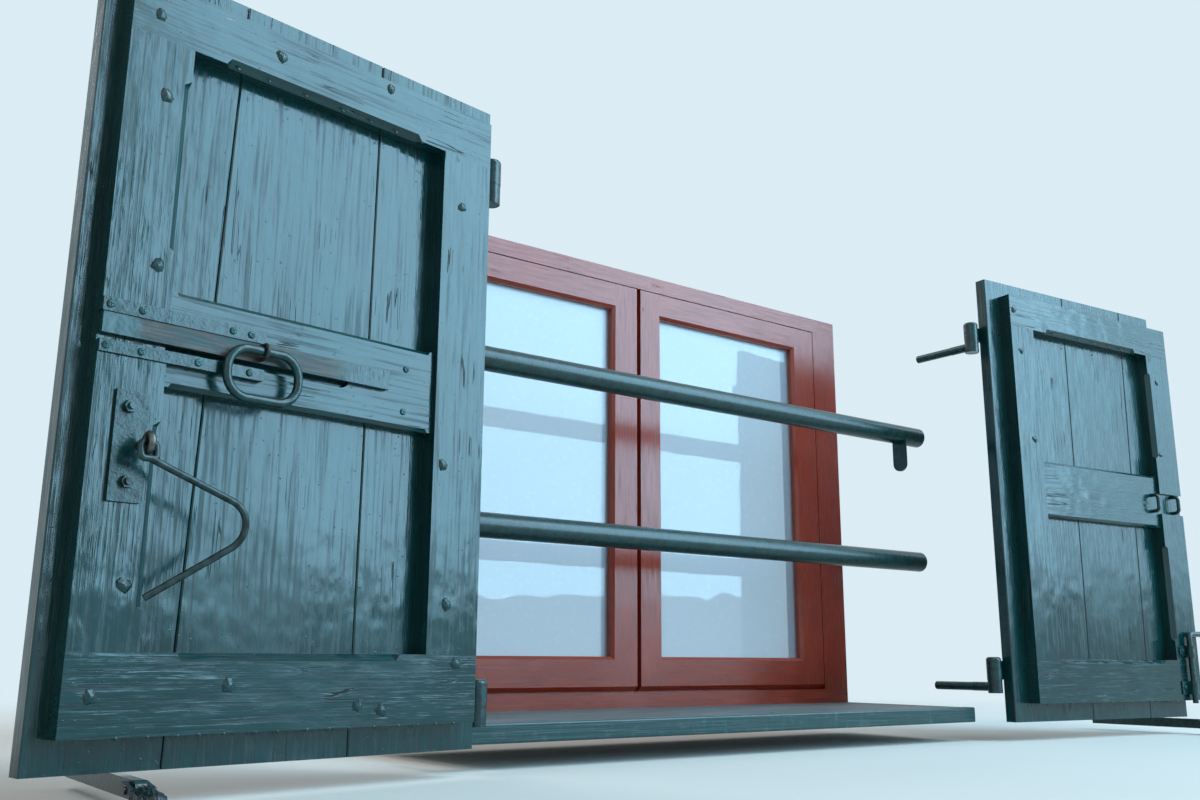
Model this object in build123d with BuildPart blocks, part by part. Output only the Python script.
from build123d import *
import os
from math import cos, radians, sin, sqrt

# Window shutters: two boarded leaves hung on pintles in front of a small casement window with
# its sill, two round bars across the opening, and one tilting holdback for each leaf.
# Millimetres. X runs right along the wall, Y into the wall, whose outer face is Y = 0, and Z up.
# The origin lies on the wall's face, under the sill, in the middle of the opening.

os.makedirs("parts", exist_ok=True)

# The opening in the wall, and the sill
opening_width = 1130
head_height = 912
window_setback = 297
sill_thickness = 29
sill_nose = 25
sill_left_end = -620
sill_right_end = 578
edge_round = 3

# The leaves: a frame of rails and stiles on a layer of boards
frame_height = 870
frame_bottom = 37
frame_thickness = 27
board_thickness = 25
board_foot_margin = 37
board_head_margin = 34
board_gap = 1
board_arris = 1.5
board_start = 25
top_rail_width = 71
bottom_rail_width = 88
mid_rail_setback = 7
stop_chamfer = 9
mid_rail_chamfer = 5
chamfer_stop = 48
mid_chamfer_stop = 6

# Hinges: strap and pintle
hinge_axis_x = 614
pin_radius = 8
pin_running_clearance = 0.08
eye_radius = 15
eye_cap = 5
eye_cap_round = 6
strap_thickness = 6
strap_length = 410
strap_tip_radius = 12
collar_radius = 14.5
tail_radius = 9
tail_shoulder = 0.5
tail_depth = 90

# Forged nails
nail_shank = 4
nail_head_radius = 8.5
nail_head_height = 4
nail_head_taper = 35

# Slide bar of the left leaf, its guides and its keepers on the right leaf
bar_height = 25
bar_thickness = 8
bar_start = 210
bar_end = 590
bar_bottom = 467
bar_back_gap = 0.6
bar_top_gap = 1
slot_start = 266
slot_bottom = 459
slot_depth = 9
guide_start = 394
guide_height = 14
guide_proud = 3.5
guide_lip = 1
guide_lip_thickness = 1.2
staple_s = 399
staple_radius = 2.5
ring_radius = 5.5
ring_standoff = 64
ring_width = 94
ring_height = 60
ring_corner = 27
fit_clearance = 0.4
keeper_radius = 4
keeper_clearance = 0.3
keeper_sites = (522, 598)
keeper_low = 461
keeper_high = 498
keeper_standoff = 62
keeper_leg_depth = 14
keeper_corner = 9

# Hook of the left leaf, on its eye bolt and plate
plate_start = 531
plate_end = 568
plate_bottom = 283
plate_top = 406
plate_thickness = 5
bolt_radius = 4
bolt_clearance = 0.25
bolt_sites = ((549, 305), (553, 388))
nut_across = 13
nut_height = 6.5
bolt_proud = 4
bolt_head_radius = 9
bolt_head_height = 4
eye_s = 538
eye_z = 347
eye_standoff = 80
eye_rod_radius = 4
eye_bend_radius = 9.5
hook_rod_radius = 4
hook_eye_gap = 0.6
hook_apex = (389, 96, 271)
hook_tip = (517, 56.6, 182)
hook_bend_radius = 30

# Drop bolt of the right leaf and its two clips
drop_s = 584
drop_standoff = 62
drop_radius = 6
drop_foot = 31
drop_handle_height = 183
drop_handle_reach = 58
drop_bend_radius = 10
drop_travel = 17
clip_wall = 2.5
clip_clearance = 0.3
clip_ear_radius = 11
upper_clip = (131, 157)
lower_clip = (50, 79)
lower_clip_span = (553, 617)

# Window: fixed frame and two casements that open inwards
window_depth = 50
frame_lip = 12
frame_lip_overlap = 10
jamb_width = 73
window_foot = 58
head_depth = 32
casement_gap = 2
lip_gap = 2
meeting_x = -37
meeting_groove = 10
meeting_gap = 3
meeting_groove_depth = 15
left_meeting_edge = -104
right_meeting_edge = 25
hinge_stile_width = 69
glass_bottom = 125
top_rail_depth = 53
glass_setback = 16
glass_thickness = 4
glass_rebate = 10
glass_edge_gap = 1
bead_depth = 14
sight_bevel = 6
drip_bevel = 9

# Casement hinges and handle
knuckle_radius = 6
knuckle_pin_radius = 3
knuckle_length = 26
knuckle_gap = 0.2
knuckle_heights = (175, 775)
hinge_plate_thickness = 2.5
hinge_plate_width = 30
handle_height = 480
handle_plate = (32, 130)
handle_plate_thickness = 4
handle_boss_radius = 8
handle_rod_radius = 6.5
handle_standoff = 34
handle_length = 105
handle_bend_radius = 14

# Bars across the opening
tube_radius = 21.2
tube_wall = 3.2
bar_embedding = 60
upper_tube = (115, 612)
lower_tube = (127, 334)
lug_thickness = 6
lug_width = 34
lug_drop = 82

# Holdbacks
dog_arm_width = 12
dog_arm_height = 20
dog_arm_centre = -14.5
dog_standoff = 71
dog_pin_radius = 4
dog_pin_clearance = 0.08
fork_gap = 0.5
fork_leg_width = 7
fork_leg_depth = 12
fork_leg_drop = 20
fork_crotch = 15
dog_tilt = 98
bust_height = 34
bust_width = 27
bust_depth = 22
head_length = 25
head_width = 21
hair_width = 25
hair_setback = 2.5
neck_radius = 5.5
nose_half_width = 1.3

hinge_axis_y = -(board_thickness + frame_thickness)
frame_top = frame_bottom + frame_height
leaf_face = board_thickness + frame_thickness
mid_rail_face = leaf_face - mid_rail_setback
board_foot = frame_bottom - board_foot_margin
board_head = frame_top + board_head_margin
half_opening = opening_width / 2
frame_jamb_face = half_opening - jamb_width
window_top_lip = head_height - head_depth
hinge_stile_edge = frame_jamb_face - lip_gap - hinge_stile_width
glass_top = window_top_lip - lip_gap - top_rail_depth


class Leaf:
    """One leaf's own directions: s across it from its hinge axis, t out of its back, z up."""

    def __init__(self, name, side, open_angle, hinge_margin, frame_width, free_margin):
        turn = radians(open_angle)
        self.name = name
        self.side = side
        self.axis = Vector(side * hinge_axis_x, hinge_axis_y, 0)
        self.along = Vector(side * cos(turn), -sin(turn), 0)
        self.out = Vector(-side * sin(turn), -cos(turn), 0)
        self.frame_start = board_start + hinge_margin
        self.frame_end = self.frame_start + frame_width
        self.board_end = self.frame_end + free_margin

    def fit_out(self, hinge_stile, free_stile, mid_rail, board_joints, nails):
        """Record the widths of the stiles, the mid rail's heights, the joints and the nails."""
        self.panel_start = self.frame_start + hinge_stile
        self.panel_end = self.frame_end - free_stile
        self.mid_bottom, self.mid_top = mid_rail
        self.board_joints = board_joints
        self.nails = nails

    def point(self, s, t, z):
        """The place in the model of a point given in the leaf's own directions."""
        return self.axis + self.along * s + self.out * t + Vector(0, 0, z)

    def face(self, t, s=0, z=0):
        """Plane along the leaf: x is s times the leaf's side, y is up, and it looks outwards."""
        return Plane(self.point(s, t, z), x_dir=self.along * self.side, z_dir=self.out)

    def level(self, z, s=0, t=0):
        """Level plane: x is s times the leaf's side, y is towards the leaf's back."""
        return Plane(self.point(s, t, z), x_dir=self.along * self.side, z_dir=(0, 0, 1))

    def across(self, s, t=0, z=0):
        """Upright plane square to the leaf: x is t and y is up."""
        return Plane(self.point(s, t, z), x_dir=self.out, z_dir=self.along * -self.side)


left = Leaf("left", -1, 8.96, 21, 546, 23)
left.fit_out(
    hinge_stile=85,
    free_stile=78,
    mid_rail=(420, 534),
    board_joints=((226, 226), (466, 435)),
    nails=((562, frame_top - 43), (402, frame_top - 32), (232, frame_top - 11), (546, frame_top - 142), (537, 557), (100, frame_top - 148), (118, 378),
           (103, 190), (540, 195), (565, 79), (411, 89), (236, 63), (201, 57), (84, 114)),
)
right = Leaf("right", 1, 5.88, 44, 558, -21)
right.fit_out(
    hinge_stile=72,
    free_stile=81,
    mid_rail=(424, 544),
    board_joints=((272, 285), (470, 495)),
    nails=((85, frame_top - 33), (98, frame_top - 125), (120, 588), (581, frame_top - 133), (567, 597)),
)
left_hinge_heights = (
    (27, 55, 92), (frame_top - 100, frame_top - 69, frame_top - 27)
)
right_hinge_heights = (
    (57, 83, 129), (frame_top - 132, frame_top - 104, frame_top - 65)
)
left_mid_screws = ((178, 502), (180, 443))
upper_guide_screws = ((584, 499), (548, 499), (438, 499), (414, 499))
lower_guide_screws = ((585, 452), (545, 452), (478, 452), (413, 452))
screw_head_radius = 4.5
screw_head_height = 1.6
screw_round = 1


def write(piece, label):
    """Name a finished piece and write its file."""
    piece.part.label = label
    export_step(piece.part, f"parts/{label}.step")


def block(leaf, s_span, z_span, t_span, mode=Mode.ADD):
    """A square block in a leaf's own directions."""
    s_middle = (s_span[0] + s_span[1]) / 2
    z_middle = (z_span[0] + z_span[1]) / 2
    with BuildSketch(leaf.face(t_span[0])) as outline:
        with Locations((leaf.side * s_middle, z_middle)):
            Rectangle(s_span[1] - s_span[0], z_span[1] - z_span[0])
    extrude(outline.sketch, amount=t_span[1] - t_span[0], mode=mode)


def bore(leaf, sites, radius, t_span, mode=Mode.SUBTRACT):
    """Round holes, or round studs, square to a leaf's face."""
    with BuildSketch(leaf.face(t_span[0])) as outline:
        with Locations(*[(leaf.side * s, z) for s, z in sites]):
            Circle(radius)
    extrude(outline.sketch, amount=t_span[1] - t_span[0], mode=mode)


def nail_holes(leaf, sites, t_span):
    """Square holes that the nails' shanks fill."""
    if not sites:
        return
    with BuildSketch(leaf.face(t_span[0])) as outline:
        with Locations(*[(leaf.side * s, z) for s, z in sites]):
            Rectangle(nail_shank, nail_shank)
    extrude(outline.sketch, amount=t_span[1] - t_span[0], mode=Mode.SUBTRACT)


def stopped_chamfer(middle, edge_direction, corner_direction, length, size):
    """Cut a flat along an edge that slopes back out to the arris at each end."""
    surface = middle - corner_direction * (size / sqrt(2))
    with BuildSketch(Plane(surface, x_dir=edge_direction, z_dir=corner_direction)) as outline:
        Rectangle(length, size * sqrt(2))
    extrude(outline.sketch, amount=size, taper=-45, mode=Mode.SUBTRACT)


def nails_within(leaf, s_span, z_span):
    """The leaf's nails whose shanks go through a member."""
    return [(s, z) for s, z in leaf.nails
            if s_span[0] < s < s_span[1] and z_span[0] < z < z_span[1]]


# Sill: a painted board whose nose runs past the opening on both sides
with BuildPart() as sill:
    with BuildSketch():
        with BuildLine():
            Polyline(
                (sill_left_end, -sill_nose), (sill_right_end, -sill_nose), (sill_right_end, 0),
                (half_opening, 0), (half_opening, window_setback + window_depth),
                (-half_opening, window_setback + window_depth), (-half_opening, 0),
                (sill_left_end, 0), close=True,
            )
        make_face()
    extrude(amount=sill_thickness)
    fillet(sill.edges().filter_by(Axis.X).group_by(Axis.Y)[0], edge_round)
    drop_hole_x = hinge_axis_x - drop_s
    drop_hole_y = hinge_axis_y + drop_standoff
    with BuildSketch(Plane.XY.offset(sill_thickness)):
        with Locations((drop_hole_x, drop_hole_y)):
            Circle(drop_radius + 1.5)
    extrude(amount=-(sill_thickness - drop_foot + drop_travel + 3), mode=Mode.SUBTRACT)
write(sill, "sill")

# Fixed window frame, rebated for casements that close flush with it
window_front = window_setback
window_back = window_setback + window_depth
lip_back = window_front + frame_lip
foot_back_top = window_foot - frame_lip_overlap
head_back_bottom = window_top_lip + frame_lip_overlap
jamb_back_face = frame_jamb_face + frame_lip_overlap

with BuildPart() as window_bottom_rail:
    with BuildSketch(Plane.YZ):
        with BuildLine():
            Polyline(
                (window_front, sill_thickness), (window_back, sill_thickness),
                (window_back, foot_back_top), (lip_back, foot_back_top),
                (lip_back, window_foot), (window_front, window_foot), close=True,
            )
        make_face()
    extrude(amount=half_opening, both=True)
write(window_bottom_rail, "window_bottom_rail")

with BuildPart() as window_head:
    with BuildSketch(Plane.YZ):
        with BuildLine():
            Polyline(
                (window_front, head_height), (window_back, head_height),
                (window_back, head_back_bottom), (lip_back, head_back_bottom),
                (lip_back, window_top_lip), (window_front, window_top_lip), close=True,
            )
        make_face()
    extrude(amount=half_opening, both=True)
write(window_head, "window_head")


def upright_box(x_span, y_span, z_span, mode=Mode.ADD):
    """A square block along the model's own directions."""
    with BuildSketch(Plane.XY.offset(z_span[0])) as outline:
        with Locations(((x_span[0] + x_span[1]) / 2, (y_span[0] + y_span[1]) / 2)):
            Rectangle(abs(x_span[1] - x_span[0]), y_span[1] - y_span[0])
    extrude(outline.sketch, amount=z_span[1] - z_span[0], mode=mode)


for side, side_name in ((-1, "left"), (1, "right")):
    with BuildPart() as jamb:
        upright_box((side * frame_jamb_face, side * half_opening), (window_front, lip_back),
                    (window_foot, window_top_lip))
        upright_box((side * jamb_back_face, side * half_opening), (lip_back, window_back),
                    (foot_back_top, head_back_bottom))
    write(jamb, f"window_jamb_{side_name}")


# Casements: two stiles, two rails, a pane and its glazing bead
step_y = lip_back + lip_gap
glass_front = window_front + glass_setback
glass_back = glass_front + glass_thickness
rail_foot = window_foot + casement_gap
rail_head = window_top_lip - casement_gap
rail_back_foot = rail_foot - frame_lip_overlap
rail_back_head = rail_head + frame_lip_overlap


def bevel_sight_edges(sight):
    """Bevel the front arrises round the pane, mitred at the corners."""
    middle_x = (sight[0] + sight[1]) / 2
    middle_z = (glass_bottom + glass_top) / 2
    plane = Plane((middle_x, window_front + sight_bevel, middle_z), x_dir=(1, 0, 0),
                  z_dir=(0, -1, 0))
    with BuildSketch(plane) as outline:
        Rectangle(sight[1] - sight[0], glass_top - glass_bottom)
    extrude(outline.sketch, amount=sight_bevel, taper=-45, mode=Mode.SUBTRACT)


def bevel_foot():
    """Bevel the lower front arris of a casement, which sheds the rain."""
    with BuildSketch(Plane.YZ) as outline:
        with BuildLine():
            Polyline(
                (window_front, rail_foot), (window_front + drip_bevel, rail_foot),
                (window_front, rail_foot + drip_bevel), close=True,
            )
        make_face()
    extrude(outline.sketch, amount=half_opening, both=True, mode=Mode.SUBTRACT)


for side, side_name, meeting_edge in (
    (-1, "left", left_meeting_edge), (1, "right", right_meeting_edge)
):
    front_outer = side * (frame_jamb_face - casement_gap)
    back_outer = side * (jamb_back_face - casement_gap)
    front_meeting = meeting_x + side * meeting_groove / 2
    back_meeting = meeting_x + side * meeting_gap / 2
    sight = sorted((meeting_edge, side * hinge_stile_edge))
    rebate = (sight[0] - glass_rebate, sight[1] + glass_rebate)
    hinge_rebate = side * (hinge_stile_edge + glass_rebate)
    meeting_rebate = meeting_edge - side * glass_rebate
    groove_y = window_front + meeting_groove_depth

    with BuildPart() as hinge_stile:
        upright_box((side * hinge_stile_edge, front_outer), (window_front, step_y),
                    (rail_foot, rail_head))
        upright_box((side * hinge_stile_edge, back_outer), (step_y, glass_front),
                    (rail_back_foot, rail_back_head))
        upright_box((hinge_rebate, back_outer), (glass_front, window_back),
                    (rail_back_foot, rail_back_head))
        bevel_sight_edges(sight)
        bevel_foot()
    write(hinge_stile, f"{side_name}_casement_hinge_stile")

    with BuildPart() as meeting_stile:
        upright_box((front_meeting, meeting_edge), (window_front, step_y),
                    (rail_foot, rail_head))
        upright_box((front_meeting, meeting_edge), (step_y, groove_y),
                    (rail_back_foot, rail_back_head))
        upright_box((back_meeting, meeting_edge), (groove_y, glass_front),
                    (rail_back_foot, rail_back_head))
        upright_box((back_meeting, meeting_rebate), (glass_front, window_back),
                    (rail_back_foot, rail_back_head))
        bevel_sight_edges(sight)
        bevel_foot()
    write(meeting_stile, f"{side_name}_casement_meeting_stile")

    with BuildPart() as bottom_rail:
        upright_box(sight, (window_front, step_y), (rail_foot, glass_bottom))
        upright_box(sight, (step_y, glass_front), (rail_back_foot, glass_bottom))
        upright_box(rebate, (glass_front, window_back),
                    (rail_back_foot, glass_bottom - glass_rebate))
        bevel_sight_edges(sight)
        bevel_foot()
    write(bottom_rail, f"{side_name}_casement_bottom_rail")

    with BuildPart() as top_rail:
        upright_box(sight, (window_front, step_y), (glass_top, rail_head))
        upright_box(sight, (step_y, glass_front), (glass_top, rail_back_head))
        upright_box(rebate, (glass_front, window_back),
                    (glass_top + glass_rebate, rail_back_head))
        bevel_sight_edges(sight)
    write(top_rail, f"{side_name}_casement_top_rail")

    pane_x = (rebate[0] + glass_edge_gap, rebate[1] - glass_edge_gap)
    pane_z = (glass_bottom - glass_rebate + glass_edge_gap,
              glass_top + glass_rebate - glass_edge_gap)
    with BuildPart() as glass:
        upright_box(pane_x, (glass_front, glass_back), pane_z)
    write(glass, f"{side_name}_casement_glass")

    with BuildPart() as bead:
        upright_box(rebate, (glass_back, glass_back + bead_depth),
                    (glass_bottom - glass_rebate, glass_top + glass_rebate))
        upright_box(sight, (glass_back, glass_back + bead_depth), (glass_bottom, glass_top),
                    mode=Mode.SUBTRACT)
    write(bead, f"{side_name}_casement_bead")


# Casement hinges: a lower knuckle with its pin on the frame, an upper knuckle on the casement
knuckle_x = (frame_jamb_face + frame_lip_overlap) - casement_gap / 2
knuckle_y = window_back + knuckle_radius + 0.5


def hinge_half(side, outward, low, high, bore_radius):
    """A knuckle and its plate: outward is 1 for the frame's half and -1 for the casement's."""
    centre_x = side * knuckle_x
    reach = side * outward
    with BuildSketch(Plane.XY.offset(low)) as ring:
        with Locations((centre_x, knuckle_y)):
            Circle(knuckle_radius)
            if bore_radius:
                Circle(bore_radius, mode=Mode.SUBTRACT)
    extrude(ring.sketch, amount=high - low)
    web = (centre_x, centre_x + reach * (knuckle_radius + 2))
    upright_box(web, (window_back, window_back + hinge_plate_thickness), (low, high))


with BuildPart() as casement_hinge_pins:
    for side in (-1, 1):
        for height in knuckle_heights:
            hinge_half(side, 1, height - knuckle_length, height - knuckle_gap, 0)
            plate_inner = side * (knuckle_x + knuckle_radius + 2)
            plate_outer = side * (knuckle_x + hinge_plate_width)
            upright_box((plate_inner, plate_outer),
                        (window_back, window_back + hinge_plate_thickness),
                        (height - knuckle_length, height + knuckle_length))
            with BuildSketch(Plane.XY.offset(height - knuckle_gap)) as pin:
                with Locations((side * knuckle_x, knuckle_y)):
                    Circle(knuckle_pin_radius)
            extrude(pin.sketch, amount=knuckle_length)
write(casement_hinge_pins, "casement_hinge_pins")

for side, side_name in ((-1, "left"), (1, "right")):
    with BuildPart() as knuckles:
        for height in knuckle_heights:
            hinge_half(side, -1, height, height + knuckle_length,
                       knuckle_pin_radius + pin_running_clearance / 2)
            plate_inner = side * (knuckle_x - knuckle_radius - 2)
            plate_outer = side * (knuckle_x - hinge_plate_width)
            upright_box((plate_inner, plate_outer),
                        (window_back, window_back + hinge_plate_thickness),
                        (height - knuckle_length, height + knuckle_length))
    write(knuckles, f"{side_name}_casement_knuckles")

# Casement handle on the inner face of the right casement's meeting stile
handle_x = (right_meeting_edge + meeting_x + meeting_groove / 2) / 2
handle_plane = Plane((handle_x, window_back, handle_height), x_dir=(-1, 0, 0), z_dir=(0, 1, 0))

with BuildPart() as handle_rose:
    with BuildSketch(handle_plane):
        SlotOverall(handle_plate[1], handle_plate[0], rotation=90)
        Circle(handle_boss_radius + pin_running_clearance, mode=Mode.SUBTRACT)
    extrude(amount=handle_plate_thickness)
write(handle_rose, "handle_rose")

with BuildPart() as handle_lever:
    with BuildSketch(handle_plane.offset(0.3)):
        Circle(handle_boss_radius)
    extrude(amount=handle_plate_thickness + 5)
    neck_start = handle_plate_thickness + 3
    with BuildLine(Plane((handle_x, window_back, handle_height), x_dir=(0, 1, 0),
                         z_dir=(1, 0, 0))) as lever_path:
        FilletPolyline((neck_start, 0), (handle_standoff, 0), (handle_standoff, -handle_length),
                       radius=handle_bend_radius)
    with BuildSketch(handle_plane.offset(neck_start)):
        Circle(handle_rod_radius)
    sweep(path=lever_path.wires()[0])
write(handle_lever, "handle_lever")

# Round bars across the opening, built into the wall at both ends
tube_end = half_opening + bar_embedding

with BuildPart() as upper_bar:
    with BuildSketch(Plane.YZ):
        with Locations(upper_tube):
            Circle(tube_radius)
            Circle(tube_radius - tube_wall, mode=Mode.SUBTRACT)
    extrude(amount=tube_end, both=True)
    with BuildSketch(Plane.YZ.offset(half_opening - lug_thickness)):
        with BuildLine():
            lug_bottom = upper_tube[1] - lug_drop
            lug_left = upper_tube[0] - lug_width / 2
            lug_right = upper_tube[0] + lug_width / 2
            Polyline((lug_left, upper_tube[1]), (lug_left, lug_bottom + lug_width / 2))
            RadiusArc((lug_left, lug_bottom + lug_width / 2),
                      (lug_right, lug_bottom + lug_width / 2), -lug_width / 2)
            Polyline((lug_right, lug_bottom + lug_width / 2), (lug_right, upper_tube[1]),
                     (lug_left, upper_tube[1]))
        make_face()
        with Locations(upper_tube):
            Circle(tube_radius - tube_wall, mode=Mode.SUBTRACT)
    extrude(amount=lug_thickness)
write(upper_bar, "upper_bar")

with BuildPart() as lower_bar:
    with BuildSketch(Plane.YZ):
        with Locations(lower_tube):
            Circle(tube_radius)
            Circle(tube_radius - tube_wall, mode=Mode.SUBTRACT)
    extrude(amount=tube_end, both=True)
write(lower_bar, "lower_bar")


# Pintles: a pin on a collar, with a round tail built into the wall
def pintle(leaf, collar_low, barrel_low, barrel_high):
    """The collar carries the strap's eye, and the tail runs from it straight into the wall."""
    with BuildSketch(leaf.level(collar_low)) as collar:
        Circle(collar_radius)
    extrude(collar.sketch, amount=barrel_low - collar_low)
    with BuildSketch(leaf.level(barrel_low)) as pin:
        Circle(pin_radius)
    extrude(pin.sketch, amount=barrel_high - eye_cap - barrel_low - 0.5)
    centre = Vector(leaf.axis.X, leaf.axis.Y, (collar_low + barrel_low) / 2)
    with BuildSketch(Plane(centre, x_dir=(-1, 0, 0), z_dir=(0, 1, 0))) as tail:
        Circle(tail_radius)
    extrude(tail.sketch, amount=-hinge_axis_y)
    with BuildSketch(Plane((leaf.axis.X, 0, centre.Z), x_dir=(-1, 0, 0), z_dir=(0, 1, 0))) as root:
        Circle(tail_radius - tail_shoulder)
    extrude(root.sketch, amount=tail_depth)


for leaf, heights in ((left, left_hinge_heights), (right, right_hinge_heights)):
    with BuildPart() as pintles:
        for collar_low, barrel_low, barrel_high in heights:
            pintle(leaf, collar_low, barrel_low, barrel_high)
    write(pintles, f"{leaf.name}_pintles")


# Straps: an eye closed by a domed cap, and a tapering strap nailed across the leaf's back
strap_nail_sites = (60, 160, 270, 380)


def strap_middle(barrel_low, barrel_high):
    """The height of a strap's middle line, under the round of its eye's cap."""
    return (barrel_low + barrel_high - eye_cap_round - 1) / 2


def strap(leaf, barrel_low, barrel_high):
    """The eye turns on the pintle's pin, and the strap lies on the boards' back."""
    height = barrel_high - barrel_low
    root_height = height - eye_cap_round - 2
    middle = strap_middle(barrel_low, barrel_high)
    with BuildSketch(leaf.level(barrel_low)) as eye:
        Circle(eye_radius)
    extrude(eye.sketch, amount=height)
    with BuildSketch(leaf.face(-strap_thickness)) as outline:
        with Locations((leaf.side * (pin_radius + 4), middle)):
            Rectangle(4, root_height)
        with Locations((leaf.side * (strap_length - strap_tip_radius), middle)):
            Circle(strap_tip_radius)
        make_hull()
    extrude(outline.sketch, amount=strap_thickness)
    with BuildSketch(leaf.level(barrel_low)) as pin_bore:
        Circle(pin_radius + pin_running_clearance)
    extrude(pin_bore.sketch, amount=height - eye_cap, mode=Mode.SUBTRACT)
    nail_holes(leaf, [(s, middle) for s in strap_nail_sites], (-strap_thickness, 0))


def strap_nails(heights):
    """Where the nails of a leaf's two straps go."""
    return [(s, strap_middle(low, high)) for _, low, high in heights for s in strap_nail_sites]


for leaf, heights in ((left, left_hinge_heights), (right, right_hinge_heights)):
    with BuildPart() as straps:
        for _, barrel_low, barrel_high in heights:
            strap(leaf, barrel_low, barrel_high)
        caps = [edge for edge in straps.edges().filter_by(GeomType.CIRCLE)
                if abs(edge.radius - eye_radius) < 0.01
                and any(abs(edge.center().Z - high) < 0.01 for _, _, high in heights)]
        fillet(caps, eye_cap_round)
    write(straps, f"{leaf.name}_straps")


# The two leaves' woodwork
def make_boards(leaf, heights):
    """The boards stand side by side, and some joints lean as the boards taper."""
    with BuildPart() as boards:
        edges = [(board_start - board_gap / 2, board_start - board_gap / 2), *leaf.board_joints,
                 (leaf.board_end + board_gap / 2, leaf.board_end + board_gap / 2)]
        for near, far in zip(edges, edges[1:]):
            corners = ((near[0] + board_gap / 2, board_foot), (far[0] - board_gap / 2, board_foot),
                       (far[1] - board_gap / 2, board_head), (near[1] + board_gap / 2, board_head))
            with BuildSketch(leaf.face(0)):
                with BuildLine():
                    Polyline(*[(leaf.side * s, z) for s, z in corners], close=True)
                make_face()
            extrude(amount=board_thickness)
        long_edges = [edge for edge in boards.edges() if edge.length > board_head - board_foot - 1]
        chamfer(long_edges, board_arris)
        nail_holes(leaf, [*leaf.nails, *strap_nails(heights)], (0, board_thickness))
        if leaf is left:
            bore(leaf, [*bolt_sites, (eye_s, eye_z)], bolt_radius + bolt_clearance,
                 (0, board_thickness))
    write(boards, f"{leaf.name}_boards")


def make_rail(leaf, label, z_span, chamfered_edge):
    """A top or bottom rail runs the whole width, with a stopped chamfer towards the panel."""
    s_span = (leaf.frame_start, leaf.frame_end)
    with BuildPart() as rail:
        block(leaf, s_span, z_span, (board_thickness, leaf_face))
        toward = 1 if chamfered_edge == z_span[1] else -1
        middle = leaf.point((leaf.panel_start + leaf.panel_end) / 2, leaf_face, chamfered_edge)
        corner = (leaf.out + Vector(0, 0, toward)).normalized()
        length = leaf.panel_end - leaf.panel_start - 2 * chamfer_stop
        stopped_chamfer(middle, leaf.along, corner, length, stop_chamfer)
        nail_holes(leaf, nails_within(leaf, s_span, z_span), (board_thickness, leaf_face))
    write(rail, f"{leaf.name}_{label}")


def chamfer_stile(leaf, edge_s, toward):
    """Stopped chamfers above and below the mid rail on a stile's inner arris."""
    corner = (leaf.out + leaf.along * toward).normalized()
    panels = ((frame_bottom + bottom_rail_width, leaf.mid_bottom),
              (leaf.mid_top, frame_top - top_rail_width))
    for low, high in panels:
        middle = leaf.point(edge_s, leaf_face, (low + high) / 2)
        stopped_chamfer(middle, Vector(0, 0, 1), corner, high - low - 2 * chamfer_stop,
                        stop_chamfer)


def make_stile(leaf, label, s_span, inner_s, toward, dado):
    """A stile stands between the rails, and the free one has a dado for the slide bar."""
    z_span = (frame_bottom + bottom_rail_width, frame_top - top_rail_width)
    with BuildPart() as stile:
        block(leaf, s_span, z_span, (board_thickness, leaf_face))
        if dado:
            chamfer_stile(leaf, inner_s, toward)
            block(leaf, s_span, dado, (mid_rail_face, leaf_face), mode=Mode.SUBTRACT)
        nail_holes(leaf, nails_within(leaf, s_span, z_span), (board_thickness, leaf_face))
        if leaf is left and dado:
            bore(leaf, [*bolt_sites, (eye_s, eye_z)], bolt_radius + bolt_clearance,
                 (board_thickness, leaf_face))
        if leaf is right and dado:
            legs = [(keeper_sites[1], keeper_low), (keeper_sites[1], keeper_high)]
            bore(leaf, legs, keeper_radius + keeper_clearance,
                 (mid_rail_face - keeper_leg_depth, mid_rail_face))
    write(stile, f"{leaf.name}_{label}")


left_dado = (slot_bottom, bar_bottom + bar_height + bar_top_gap)
right_dado = (keeper_low - keeper_radius - 1, keeper_high + keeper_radius + 1)

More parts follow.
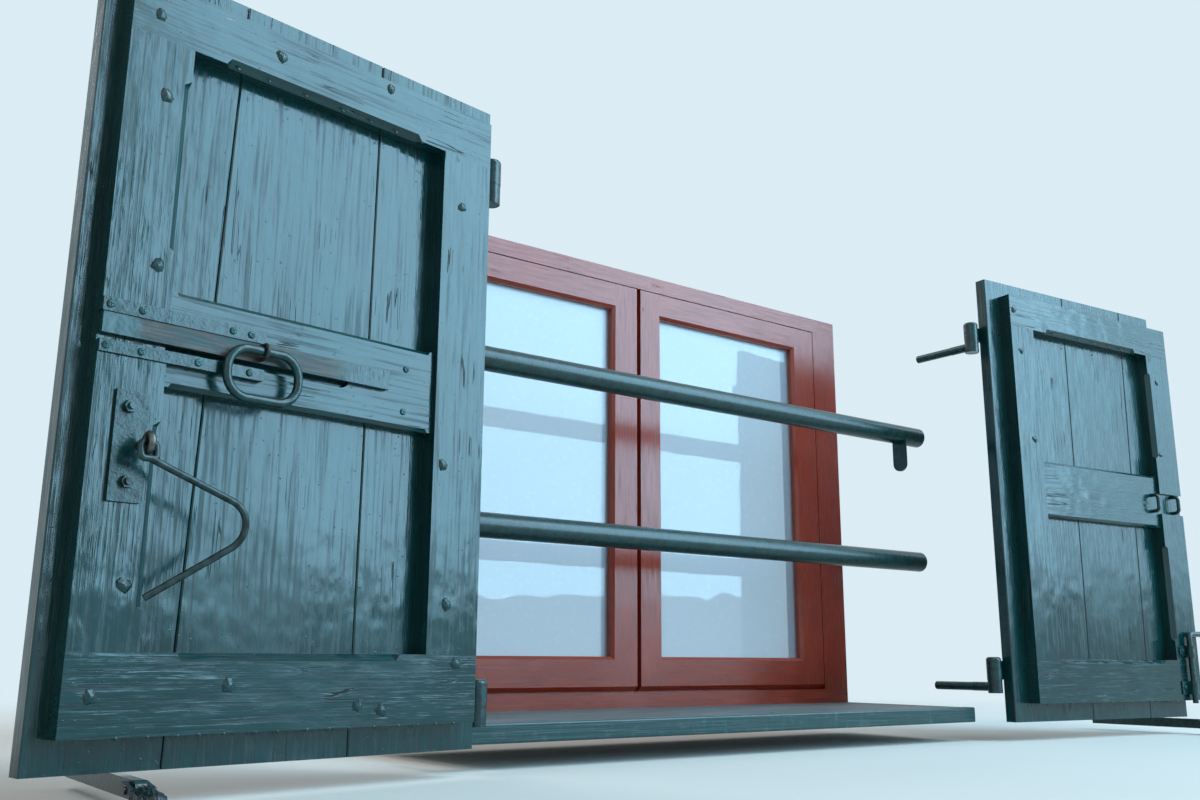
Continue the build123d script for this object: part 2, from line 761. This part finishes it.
for leaf, heights, dado in (
    (left, left_hinge_heights, left_dado), (right, right_hinge_heights, right_dado)
):
    make_boards(leaf, heights)
    make_rail(leaf, "bottom_rail", (frame_bottom, frame_bottom + bottom_rail_width),
              frame_bottom + bottom_rail_width)
    make_rail(leaf, "top_rail", (frame_top - top_rail_width, frame_top),
              frame_top - top_rail_width)
    make_stile(leaf, "hinge_stile", (leaf.frame_start, leaf.panel_start), leaf.panel_start, 1,
               None)
    make_stile(leaf, "free_stile", (leaf.panel_end, leaf.frame_end), leaf.panel_end, -1, dado)

    with BuildPart() as mid_rail:
        block(leaf, (leaf.panel_start, leaf.panel_end), (leaf.mid_bottom, leaf.mid_top),
              (board_thickness, mid_rail_face))
        for height, toward in ((leaf.mid_bottom, -1), (leaf.mid_top, 1)):
            middle = leaf.point((leaf.panel_start + leaf.panel_end) / 2, mid_rail_face, height)
            corner = (leaf.out + Vector(0, 0, toward)).normalized()
            stopped_chamfer(middle, leaf.along, corner,
                            leaf.panel_end - leaf.panel_start - 2 * mid_chamfer_stop
                            - 2 * mid_rail_chamfer, mid_rail_chamfer)
        if leaf is left:
            slot_top = bar_bottom + bar_height - 4
            slot_middle = (slot_bottom + slot_top) / 2
            slot_half = (slot_top - slot_bottom) / 2
            block(leaf, (slot_start + slot_half, leaf.panel_end), (slot_bottom, slot_top),
                  (mid_rail_face - slot_depth, mid_rail_face), mode=Mode.SUBTRACT)
            bore(leaf, [(slot_start + slot_half, slot_middle)], slot_half,
                 (mid_rail_face - slot_depth, mid_rail_face))
        else:
            legs = [(keeper_sites[0], keeper_low), (keeper_sites[0], keeper_high)]
            bore(leaf, legs, keeper_radius + keeper_clearance,
                 (mid_rail_face - keeper_leg_depth, mid_rail_face))
    write(mid_rail, f"{leaf.name}_mid_rail")


# Forged nails, one group for each leaf
def nail(leaf, s, z, face_t, shank_to, outward):
    """A faceted head on a square shank; outward is 1 on the front and -1 on the straps."""
    plane = leaf.face(face_t, s, z)
    head_plane = plane if outward > 0 else Plane(plane.origin, plane.x_dir, -plane.z_dir)
    with BuildSketch(head_plane) as head:
        RegularPolygon(nail_head_radius, 7, rotation=s)
    extrude(head.sketch, amount=nail_head_height, taper=nail_head_taper)
    with BuildSketch(plane) as shank:
        Rectangle(nail_shank, nail_shank)
    extrude(shank.sketch, amount=shank_to - face_t)


for leaf, heights in ((left, left_hinge_heights), (right, right_hinge_heights)):
    with BuildPart() as nails:
        for s, z in leaf.nails:
            nail(leaf, s, z, leaf_face, 0, 1)
        for s, z in strap_nails(heights):
            nail(leaf, s, z, -strap_thickness, board_thickness, -1)
    write(nails, f"{leaf.name}_nails")

# Slide bar with the staple that carries its ring
bar_back = mid_rail_face + bar_back_gap
bar_front = bar_back + bar_thickness
bar_top = bar_bottom + bar_height
staple_z = bar_bottom + bar_height / 2 - 0.2
staple_bend = ring_radius + fit_clearance + staple_radius

with BuildPart() as slide_bar:
    block(left, (bar_start, bar_end), (bar_bottom, bar_top), (bar_back, bar_front))
    with BuildLine(left.across(staple_s, 0, staple_z)) as staple_path:
        Line((bar_front - 1, -staple_bend), (ring_standoff, -staple_bend))
        ThreePointArc((ring_standoff, -staple_bend), (ring_standoff + staple_bend, 0),
                      (ring_standoff, staple_bend))
        Line((ring_standoff, staple_bend), (bar_front - 1, staple_bend))
    with BuildSketch(left.face(bar_front - 1, staple_s, staple_z - staple_bend)):
        Circle(staple_radius)
    sweep(path=staple_path.wires()[0])
write(slide_bar, "slide_bar")

with BuildPart() as ring:
    with BuildLine(left.face(ring_standoff, staple_s, staple_z)) as ring_path:
        half_width = ring_width / 2
        FilletPolyline((-half_width, 0), (half_width, 0), (half_width, -ring_height),
                       (-half_width, -ring_height), radius=ring_corner, close=True)
    with BuildSketch(left.across(staple_s, ring_standoff, staple_z)):
        Circle(ring_radius)
    sweep(path=ring_path.wires()[0])
write(ring, "ring")

# Guides: two strips that lie on the mid rail and step up over the free stile
guide_face = leaf_face + guide_proud
for label, low, lip in (
    ("upper_guide", bar_top + bar_top_gap, True),
    ("lower_guide", slot_bottom - guide_height, False),
):
    with BuildPart() as guide:
        span = (low, low + guide_height)
        block(left, (guide_start, left.panel_end), span, (mid_rail_face, guide_face))
        block(left, (left.panel_end, left.frame_end), span, (leaf_face, guide_face))
        if lip:
            block(left, (guide_start, left.frame_end), (low - bar_top_gap - guide_lip, low),
                  (guide_face - guide_lip_thickness, guide_face))
    write(guide, label)

with BuildPart() as guide_screws:
    bore(left, [*upper_guide_screws, *lower_guide_screws], screw_head_radius,
         (guide_face, guide_face + screw_head_height), mode=Mode.ADD)
    bore(left, left_mid_screws, screw_head_radius,
         (mid_rail_face, mid_rail_face + screw_head_height), mode=Mode.ADD)
    front_rims = [edge for edge in guide_screws.edges().filter_by(GeomType.CIRCLE)
                  if (edge.center() - left.axis).dot(left.out) > mid_rail_face + 1
                  and abs((edge.center() - left.axis).dot(left.out) - guide_face) > 0.5]
    fillet(front_rims, screw_round)
write(guide_screws, "guide_screws")

# Eye plate, its bolts, the eye bolt and the hook
plate_face = leaf_face + plate_thickness

with BuildPart() as eye_plate:
    block(left, (plate_start, plate_end), (plate_bottom, plate_top), (leaf_face, plate_face))
    bore(left, [*bolt_sites, (eye_s, eye_z)], bolt_radius + bolt_clearance,
         (leaf_face, plate_face))
write(eye_plate, "eye_plate")

with BuildPart() as plate_bolts:
    bore(left, bolt_sites, bolt_radius, (0, plate_face + nut_height + bolt_proud), mode=Mode.ADD)
    bore(left, bolt_sites, bolt_head_radius, (-bolt_head_height, 0), mode=Mode.ADD)
    with BuildSketch(left.face(plate_face)):
        with Locations(*[(left.side * s, z) for s, z in bolt_sites]):
            RegularPolygon(nut_across / 2, 6, major_radius=False)
    extrude(amount=nut_height)
write(plate_bolts, "plate_bolts")

with BuildPart() as eye_bolt:
    with BuildSketch(left.face(eye_standoff, eye_s, eye_z)):
        with Locations((0, eye_bend_radius)):
            Circle(eye_rod_radius)
    eye_axis = Axis(left.point(eye_s, eye_standoff, eye_z), left.along)
    revolve(axis=eye_axis)
    bore(left, [(eye_s, eye_z)], bolt_radius,
         (-nut_height, eye_standoff - eye_bend_radius), mode=Mode.ADD)
    with BuildSketch(left.face(0, eye_s, eye_z)):
        RegularPolygon(nut_across / 2, 6, major_radius=False)
    extrude(amount=-nut_height)
write(eye_bolt, "eye_bolt")

hook_eye_half = eye_rod_radius + hook_eye_gap + hook_rod_radius
hook_eye_drop = eye_bend_radius + eye_rod_radius + hook_eye_gap + hook_rod_radius
eye_centre = left.point(eye_s, eye_standoff, eye_z)
apex_point = left.point(*hook_apex)
tip_point = left.point(*hook_tip)
eye_down = (apex_point - eye_centre) - left.along * (apex_point - eye_centre).dot(left.along)
eye_down = eye_down.normalized()

with BuildPart() as hook:
    eye_plane = Plane(eye_centre, x_dir=left.along, z_dir=left.along.cross(eye_down))
    with BuildLine(eye_plane) as eye_path:
        FilletPolyline((-hook_eye_half, 0), (hook_eye_half, 0), (hook_eye_half, hook_eye_drop),
                       (-hook_eye_half, hook_eye_drop), radius=hook_eye_half * 0.5, close=True)
    with BuildSketch(left.across(eye_s, eye_standoff, eye_z)):
        Circle(hook_rod_radius)
    sweep(path=eye_path.wires()[0])
    shank_start = eye_centre + eye_down * hook_eye_drop - left.along * hook_eye_half * 0.2
    with BuildLine() as hook_path:
        FilletPolyline(shank_start, apex_point, tip_point, radius=hook_bend_radius)
    with BuildSketch(Plane(shank_start, z_dir=(apex_point - shank_start).normalized())):
        Circle(hook_rod_radius)
    sweep(path=hook_path.wires()[0])
write(hook, "hook")

# Keepers of the slide bar on the right leaf
with BuildPart() as keepers:
    for s in keeper_sites:
        leg_end = mid_rail_face - keeper_leg_depth
        with BuildLine(right.across(s)) as keeper_path:
            FilletPolyline((leg_end, keeper_low), (keeper_standoff, keeper_low),
                           (keeper_standoff, keeper_high), (leg_end, keeper_high),
                           radius=keeper_corner)
        with BuildSketch(right.face(leg_end, s, keeper_low)) as rod:
            Circle(keeper_radius)
        sweep(rod.sketch, path=keeper_path.wires()[0])
write(keepers, "keepers")

# Drop bolt and its clips
drop_bore = drop_radius + clip_clearance

with BuildPart() as drop_bolt:
    with BuildLine(right.face(drop_standoff)) as drop_path:
        FilletPolyline((drop_s, drop_foot), (drop_s, drop_handle_height),
                       (drop_s + drop_handle_reach, drop_handle_height), radius=drop_bend_radius)
    with BuildSketch(right.level(drop_foot, drop_s, drop_standoff)):
        Circle(drop_radius)
    sweep(path=drop_path.wires()[0])
write(drop_bolt, "drop_bolt")

with BuildPart() as bolt_clips:
    saddle = drop_bore + clip_wall
    for (low, high), (near, far) in (
        (upper_clip, (drop_s - saddle, drop_s + saddle)), (lower_clip, lower_clip_span)
    ):
        with BuildSketch(right.level(low, drop_s, drop_standoff)) as plan:
            Circle(saddle)
            with Locations((0, (drop_standoff - leaf_face) / 2)):
                Rectangle(2 * saddle, drop_standoff - leaf_face)
            with Locations(((near + far) / 2 - drop_s, drop_standoff - leaf_face - clip_wall / 2)):
                Rectangle(far - near, clip_wall)
            Circle(drop_bore, mode=Mode.SUBTRACT)
        extrude(plan.sketch, amount=high - low)
    ear_s = drop_s - saddle - clip_ear_radius + 3
    ear_z = upper_clip[1] - clip_ear_radius
    with BuildSketch(right.face(leaf_face)) as ear:
        with Locations((ear_s, ear_z)):
            Circle(clip_ear_radius)
        with Locations(((ear_s + drop_s - saddle) / 2 + 1, ear_z)):
            Rectangle(drop_s - saddle - ear_s + 2, 2 * clip_ear_radius)
    extrude(ear.sketch, amount=clip_wall)
write(bolt_clips, "bolt_clips")

clip_screw_sites = ((ear_s, ear_z), (lower_clip_span[0] + 11, sum(lower_clip) / 2),
                    (lower_clip_span[1] - 11, sum(lower_clip) / 2))
with BuildPart() as clip_screws:
    bore(right, clip_screw_sites, screw_head_radius,
         (leaf_face + clip_wall, leaf_face + clip_wall + screw_head_height), mode=Mode.ADD)
write(clip_screws, "clip_screws")


# Holdbacks: an arm from the wall ends in a tongue, and a forked bust tilts on its pin.
# They are shown tipped outwards, so that the leaves are free to swing over them.
def dog_pivot(leaf, s):
    """The middle of a holdback's pin, in front of the leaf's foot."""
    return leaf.point(s, dog_standoff, dog_arm_centre)


for leaf, dog_s in ((left, 510), (right, 610)):
    pivot = dog_pivot(leaf, dog_s)
    with BuildPart() as bracket:
        arm_plane = Plane(pivot, x_dir=(0, 1, 0), z_dir=(1, 0, 0))
        with BuildSketch(arm_plane):
            Circle(dog_arm_height / 2)
            with Locations(((tail_depth - pivot.Y) / 2, 0)):
                Rectangle(tail_depth - pivot.Y, dog_arm_height)
        extrude(amount=dog_arm_width / 2, both=True)
        with BuildSketch(arm_plane):
            Circle(dog_pin_radius)
        extrude(amount=dog_arm_width / 2 + fork_gap + fork_leg_width + 2, both=True)
    write(bracket, f"{leaf.name}_dog_bracket")

    # The tipped bust's own directions: up along the figure, out of its chest
    tilt = radians(dog_tilt)
    figure_up = Vector(0, -sin(tilt), cos(tilt))
    figure_front = Vector(0, -cos(tilt), -sin(tilt))
    with BuildPart() as dog:
        side_plane = Plane(pivot, x_dir=-figure_front, z_dir=(-1, 0, 0))
        inner = dog_arm_width / 2 + fork_gap
        outer = inner + fork_leg_width
        for leg_side in (-1, 1):
            leg_plane = side_plane.offset(inner if leg_side > 0 else -outer)
            with BuildSketch(leg_plane):
                with Locations((0, (fork_crotch - fork_leg_drop) / 2)):
                    Rectangle(fork_leg_depth, fork_crotch + fork_leg_drop)
                Circle(dog_pin_radius + dog_pin_clearance, mode=Mode.SUBTRACT)
            extrude(amount=fork_leg_width)
        collar_plane = Plane(pivot + figure_up * fork_crotch, x_dir=(1, 0, 0), z_dir=figure_up)
        with BuildSketch(collar_plane):
            Ellipse(outer, fork_leg_depth / 2 + 1)
        with BuildSketch(collar_plane.offset(bust_height * 0.45)):
            Ellipse(bust_width / 2, bust_depth / 2)
        with BuildSketch(collar_plane.offset(bust_height * 0.75)):
            Ellipse(bust_width / 2 - 2, bust_depth / 2 - 2)
        with BuildSketch(collar_plane.offset(bust_height)):
            Ellipse(5, 5)
        loft()
        with BuildSketch(collar_plane.offset(bust_height - 4)):
            Circle(neck_radius)
        extrude(amount=8)
        head_base = fork_crotch + bust_height - 1
        head_centre = pivot + figure_up * (head_base + head_length / 2)
        with BuildSketch(Plane(head_centre, x_dir=(1, 0, 0), z_dir=figure_front)):
            with BuildLine():
                EllipticalCenterArc((0, 0), head_width / 2, head_length / 2, -90, arc_size=180)
                Line((0, head_length / 2), (0, -head_length / 2))
            make_face()
        revolve(axis=Axis(head_centre, figure_up))
        hair_centre = head_centre - figure_front * hair_setback
        with BuildSketch(Plane(hair_centre, x_dir=(1, 0, 0), z_dir=figure_front)):
            with BuildLine():
                EllipticalCenterArc((0, 0), hair_width / 2, head_length / 2 + 1, -90, arc_size=180)
                Line((0, head_length / 2 + 1), (0, -head_length / 2 - 1))
            make_face()
        revolve(axis=Axis(hair_centre, figure_up))
        with BuildSketch(Plane(head_centre, x_dir=figure_front, z_dir=(1, 0, 0))):
            Polygon((head_width / 2 - 1, 4), (head_width / 2 + 2, -3), (head_width / 2 - 2, -4),
                    align=None)
        extrude(amount=nose_half_width, both=True)
    write(dog, f"{leaf.name}_dog")
